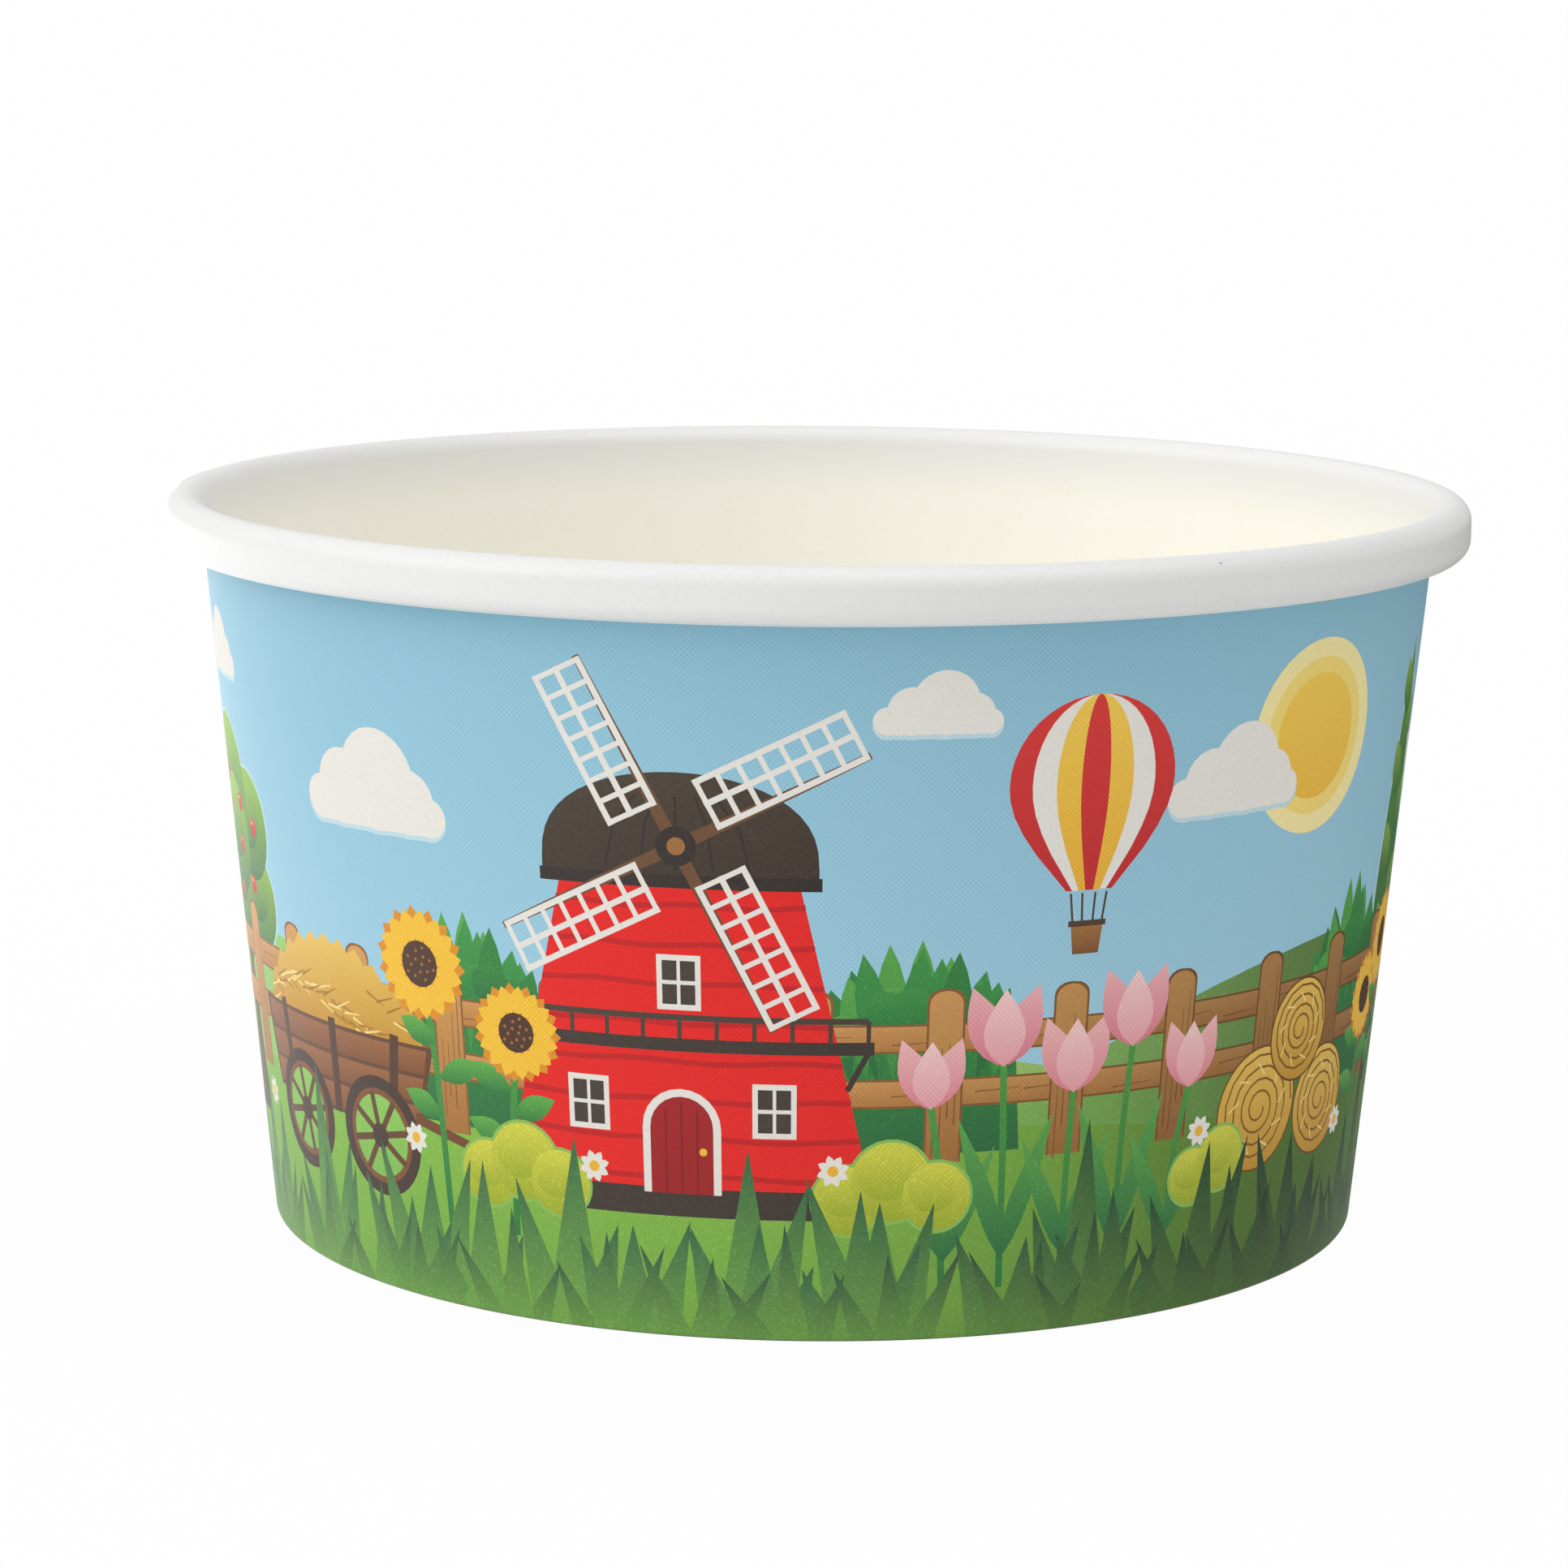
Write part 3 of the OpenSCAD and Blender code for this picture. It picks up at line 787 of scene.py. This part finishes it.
def print_point(s, z):
    """Where a point of the flat picture lies on the wall, and the way that the wall faces there."""
    angle = s / mid_radius + front_angle - seam_angle + 2 * math.pi
    facet = math.floor(angle / roll_step + same_angle) * roll_step
    into = (angle - facet) / roll_step
    tip = lean + max(0.0, bend_top - z) / bend_r
    if z < bend_top:
        radius = cone_radius(bend_r * MM, bend_r * MM) + bend_r * MM * math.cos(tip)
        height = bend_r * MM * (1 - math.sin(tip))
    else:
        radius, height = cone_radius(z * MM), z * MM
    ends = []
    for turn in (facet, facet + roll_step):
        shift = lap_step / 2 if turn > math.pi + same_angle else 0.0
        reach = radius + shift
        ends.append(Vector((shift + reach * math.cos(turn), reach * math.sin(turn), height)))
    out = Vector((math.cos(tip) * math.cos(angle), math.cos(tip) * math.sin(angle), -math.sin(tip)))
    spin = Quaternion((0, 0, 1), seam_angle)
    return spin @ ends[0].lerp(ends[1], into), spin @ out


def inside_outline(point, outline):
    """Whether a point lies inside a closed outline."""
    crossings = 0
    for a, b in zip(outline, outline[1:] + outline[:1]):
        if (a[1] > point.y) != (b[1] > point.y):
            crossings += point.x < a[0] + (point.y - a[1]) * (b[0] - a[0]) / (b[1] - a[1])
    return crossings % 2 == 1


# The marks that fall on one repeat are cut over one another, along the wall's
# facets and across the foot's bend. Each piece takes the last ink that covers it.
flat, cuts, outlines = [], [], []
sheet_outline = [(print_first, print_low), (print_first + repeat, print_low),
                 (print_first + repeat, print_high), (print_first, print_high)]
kept = [(None, sheet_outline)]
for colours, outline in marks:
    spread = [p[0] for p in outline]
    if max(spread) > print_first and min(spread) < print_first + repeat:
        area = sum(a[0] * b[1] - b[0] * a[1] for a, b in zip(outline, outline[1:] + outline[:1]))
        kept.append((colours, outline if area > 0 else outline[::-1]))
for colours, outline in kept:
    outlines.append(list(range(len(flat), len(flat) + len(outline))))
    flat += [Vector(p) for p in outline]
for i in range(1, facets):
    cuts.append((len(flat), len(flat) + 1))
    s = print_first + i * repeat / facets
    flat += [Vector((s, print_low - 1)), Vector((s, print_high + 1))]
for i in range(bend_steps):
    cuts.append((len(flat), len(flat) + 1))
    z = bend_top - bend_r * (math.pi / 2 - lean) * i / bend_steps
    flat += [Vector((print_first - 1, z)), Vector((print_first + repeat + 1, z))]
points, _, pieces, _, _, covers = geometry.delaunay_2d_cdt(flat, cuts, outlines, 1, 1e-5, True)
films = {}
for corners, over in zip(pieces, covers):
    centre = sum((points[c] for c in corners), Vector((0, 0))) / 3
    if 0 in over:
        top = next((i for i in sorted(over, reverse=True) if inside_outline(centre, kept[i][1])), 0)
        if top and kept[top][0][0] != "bare":
            films.setdefault(kept[top][0][0], []).append((corners, top))


screen_pitch = 0.26
screen_depth = 0.07
dots_turn = 4.44
bake_edge = 0.003
bake_half = 0.49
bake_tall = 0.48
rim_patch = ((0.985, 0.985), (0.995, 0.985), (0.995, 0.995), (0.985, 0.995))


def screen_group():
    """The printing screen: two rows of dots that cross slantwise, each in patches of its own."""
    group = bpy.data.node_groups.new("printing_screen", "ShaderNodeTree")
    group.interface.new_socket("Tone", in_out="OUTPUT", socket_type="NodeSocketFloat")
    nodes, links = group.nodes, group.links
    made = nodes.new("NodeGroupOutput")
    flat_place = nodes.new("ShaderNodeUVMap")
    flat_place.uv_map = "OFBake"
    solid_place = nodes.new("ShaderNodeTexCoord")
    rows = []
    for sign, shift in ((1, 0.0), (-1, 7.0)):
        across = nodes.new("ShaderNodeVectorMath")
        across.operation = "DOT_PRODUCT"
        rise = (print_high - print_low) / bake_tall / screen_pitch * dots_turn
        across.inputs[1].default_value = (repeat / screen_pitch * dots_turn, sign * rise, 0)
        wave = nodes.new("ShaderNodeMath")
        wave.operation = "SINE"
        patch_place = nodes.new("ShaderNodeMapping")
        patch_place.inputs["Location"].default_value = (shift, shift, 0)
        patch = nodes.new("ShaderNodeTexNoise")
        patch.inputs["Scale"].default_value = 700
        patch.inputs["Detail"].default_value = 1
        strong = nodes.new("ShaderNodeMapRange")
        strong.inputs["From Min"].default_value = 0.4
        strong.inputs["From Max"].default_value = 0.65
        row = nodes.new("ShaderNodeMath")
        row.operation = "MULTIPLY"
        links.new(flat_place.outputs["UV"], across.inputs[0])
        links.new(across.outputs["Value"], wave.inputs[0])
        links.new(solid_place.outputs["Object"], patch_place.inputs["Vector"])
        links.new(patch_place.outputs["Vector"], patch.inputs["Vector"])
        links.new(patch.outputs["Fac"], strong.inputs["Value"])
        links.new(wave.outputs["Value"], row.inputs[0])
        links.new(strong.outputs["Result"], row.inputs[1])
        rows.append(row)
    both = nodes.new("ShaderNodeMath")
    both.operation = "ADD"
    links.new(rows[0].outputs["Value"], both.inputs[0])
    links.new(rows[1].outputs["Value"], both.inputs[1])
    links.new(both.outputs["Value"], made.inputs["Tone"])
    return group


screen = screen_group()


def ink_material(name, speckle):
    """One ink family: its colour, a paler speckle where the fibre shows and the screen's tone."""
    material = bpy.data.materials.new(name)
    material.use_nodes = True
    nodes, links = material.node_tree.nodes, material.node_tree.links
    shader = nodes["Principled BSDF"]
    shader.inputs["Roughness"].default_value = 0.5
    shader.inputs["Specular IOR Level"].default_value = 0.3
    inked = nodes.new("ShaderNodeAttribute")
    inked.attribute_name = "Ink"
    dots = nodes.new("ShaderNodeGroup")
    dots.node_tree = screen
    tone = nodes.new("ShaderNodeMath")
    tone.operation = "MULTIPLY_ADD"
    tone.inputs[1].default_value = screen_depth
    tone.inputs[2].default_value = 1
    toned = nodes.new("ShaderNodeVectorMath")
    toned.operation = "SCALE"
    grain = nodes.new("ShaderNodeGroup")
    grain.node_tree = board_grain
    grain.inputs["Size"].default_value = 4600
    show = nodes.new("ShaderNodeMath")
    show.operation = "MULTIPLY"
    show.inputs[1].default_value = speckle
    speck = nodes.new("ShaderNodeMix")
    speck.data_type = "RGBA"
    paler = nodes.new("ShaderNodeVectorMath")
    paler.operation = "MULTIPLY_ADD"
    paler.inputs[1].default_value = (1.7, 1.7, 1.7)
    paler.inputs[2].default_value = (0.03, 0.03, 0.03)
    relief = nodes.new("ShaderNodeBump")
    relief.inputs["Strength"].default_value = 0.35
    relief.inputs["Distance"].default_value = 0.015 * MM
    links.new(dots.outputs["Tone"], tone.inputs[0])
    links.new(inked.outputs["Color"], toned.inputs[0])
    links.new(tone.outputs["Value"], toned.inputs["Scale"])
    links.new(grain.outputs["Speckle"], show.inputs[0])
    links.new(show.outputs["Value"], speck.inputs["Factor"])
    links.new(toned.outputs["Vector"], speck.inputs[6])
    links.new(toned.outputs["Vector"], paler.inputs[0])
    links.new(paler.outputs["Vector"], speck.inputs[7])
    links.new(speck.outputs[2], shader.inputs["Base Color"])
    links.new(grain.outputs["Height"], relief.inputs["Height"])
    links.new(relief.outputs["Normal"], shader.inputs["Normal"])
    return material


# Each ink family is one film, which lies on the wall twice and has a thickness
speckles = {"blue": 0.05, "red": 0.12, "pink": 0.1, "yellow": 0.12, "brown": 0.2, "dark": 0.3,
            "green": 0.3, "leaf": 0.34, "blade": 0.45}
for family, parts in films.items():
    bm = bmesh.new()
    colour_at = bm.loops.layers.float_color.new("Ink")
    bake_at = bm.loops.layers.uv.new("OFBake")
    out_at = bm.verts.layers.float_vector.new("out")
    for turn in (0, 1):
        made = {}
        for corners, top in parts:
            colours, outline = kept[top]
            mark_low, mark_high = min(p[1] for p in outline), max(p[1] for p in outline)
            for c in corners:
                if c not in made:
                    place, out = print_point(points[c].x + turn * repeat, points[c].y)
                    made[c] = bm.verts.new(place)
                    made[c][out_at] = out
            face = bm.faces.new([made[c] for c in corners])
            for loop, c in zip(face.loops, corners):
                s, z = points[c]
                share = (z - mark_low) / (mark_high - mark_low)
                lit = wash(s) ** washed.get(family, 0)
                loop[colour_at] = (*[(a + (b - a) * share) * lit for a, b in zip(*colours[1:])], 1)
                up = bake_tall * (z - print_low) / (print_high - print_low)
                loop[bake_at].uv = ((s - print_first) / repeat, bake_edge + bake_half * turn + up)
    grown = bmesh.ops.extrude_face_region(bm, geom=bm.faces[:], use_keep_orig=True)
    raised = {v for v in grown["geom"] if isinstance(v, bmesh.types.BMVert)}
    for v in raised:
        v.co += v[out_at] * ink_t
    normals = []
    for face in bm.faces:
        ups = sum(v in raised for v in face.verts)
        if ups == len(face.verts) or ups == 0:
            sign = 1 if ups else -1
            if face.normal.dot(face.verts[0][out_at]) * sign < 0:
                face.normal_flip()
        if ups != len(face.verts):
            for loop, corner in zip(face.loops, rim_patch):
                loop[bake_at].uv = corner
    for face in bm.faces:
        ups = sum(v in raised for v in face.verts)
        for loop in face.loops:
            if ups == len(face.verts):
                normals.append(Vector(loop.vert[out_at]))
            elif ups == 0:
                normals.append(-Vector(loop.vert[out_at]))
            else:
                normals.append(face.normal.copy())
    mesh = bpy.data.meshes.new("ink_" + family)
    bm.to_mesh(mesh)
    bm.free()
    mesh.attributes.remove(mesh.attributes["out"])
    mesh.shade_smooth()
    mesh.normals_split_custom_set(normals)
    mesh.materials.append(ink_material("ink_" + family, speckles[family]))
    film = bpy.data.objects.new("ink_" + family, mesh)
    bpy.context.scene.collection.objects.link(film)
    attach(film, "root")

# Floor and light: a white sweep and white surroundings that mirror brighter at the
# left than at the right, and two soft suns, from the front left and from above.
bpy.ops.mesh.primitive_plane_add(size=16, location=(0, 0, 0))
floor = bpy.context.object
floor.name = "floor"
floor_paint = bpy.data.materials.new("floor_white")
floor_paint.use_nodes = True
nodes, links = floor_paint.node_tree.nodes, floor_paint.node_tree.links
diffuse = nodes["Principled BSDF"]
diffuse.inputs["Base Color"].default_value = (0.85, 0.85, 0.85, 1)
diffuse.inputs["Roughness"].default_value = 0.9
diffuse.inputs["Specular IOR Level"].default_value = 0
glow = nodes.new("ShaderNodeEmission")
rays = nodes.new("ShaderNodeLightPath")
place = nodes.new("ShaderNodeTexCoord")
split = nodes.new("ShaderNodeSeparateXYZ")
mirror_reach = 90 * MM
mirrored = nodes.new("ShaderNodeMapRange")
mirrored.inputs["From Min"].default_value = -mirror_reach
mirrored.inputs["From Max"].default_value = mirror_reach
mirrored.inputs["To Min"].default_value = 2.1
mirrored.inputs["To Max"].default_value = 0.05
strength = nodes.new("ShaderNodeMix")
strength.inputs["B"].default_value = 1
links.new(place.outputs["Object"], split.inputs[0])
links.new(split.outputs["X"], mirrored.inputs["Value"])
links.new(mirrored.outputs["Result"], strength.inputs["A"])
links.new(rays.outputs["Is Camera Ray"], strength.inputs["Factor"])
links.new(strength.outputs["Result"], glow.inputs["Strength"])
seen = nodes.new("ShaderNodeMath")
seen.operation = "MAXIMUM"
faint = nodes.new("ShaderNodeMath")
faint.operation = "MULTIPLY"
faint.inputs[1].default_value = 0.96
blend = nodes.new("ShaderNodeMixShader")
links.new(rays.outputs["Is Camera Ray"], seen.inputs[0])
links.new(rays.outputs["Is Glossy Ray"], seen.inputs[1])
links.new(seen.outputs["Value"], faint.inputs[0])
links.new(faint.outputs["Value"], blend.inputs[0])
links.new(diffuse.outputs["BSDF"], blend.inputs[1])
links.new(glow.outputs["Emission"], blend.inputs[2])
links.new(blend.outputs["Shader"], nodes["Material Output"].inputs["Surface"])
floor.data.materials.append(floor_paint)
world = bpy.data.worlds.new("surroundings")
bpy.context.scene.world = world
world.use_nodes = True
nodes, links = world.node_tree.nodes, world.node_tree.links
fill = nodes["Background"]
fill.inputs["Color"].default_value = (1, 1, 1, 1)
rays = nodes.new("ShaderNodeLightPath")
place = nodes.new("ShaderNodeTexCoord")
split = nodes.new("ShaderNodeSeparateXYZ")
side = nodes.new("ShaderNodeMapRange")
side.inputs["From Min"].default_value = -1
side.inputs["To Min"].default_value = 0.87
side.inputs["To Max"].default_value = 0.5
seen = nodes.new("ShaderNodeMath")
seen.operation = "MAXIMUM"
links.new(place.outputs["Generated"], split.inputs[0])
links.new(split.outputs["X"], side.inputs["Value"])
links.new(side.outputs["Result"], seen.inputs[0])
links.new(rays.outputs["Is Camera Ray"], seen.inputs[1])
links.new(seen.outputs["Value"], fill.inputs["Strength"])
for name, strength, way in (("key", 0.8, (0.75, 0.3, -0.6)), ("top", 0.58, (-0.3, 0.12, -1))):
    lamp = bpy.data.lights.new(name, "SUN")
    lamp.energy = strength
    lamp.angle = math.radians(50)
    lit = bpy.data.objects.new(name, lamp)
    lit.rotation_mode = "QUATERNION"
    lit.rotation_quaternion = Vector(way).to_track_quat("-Z", "Y")
    bpy.context.scene.collection.objects.link(lit)

bpy.context.scene.render.engine = "CYCLES"
bpy.context.scene.cycles.diffuse_bounces = 10
bpy.context.scene.view_settings.view_transform = "Standard"
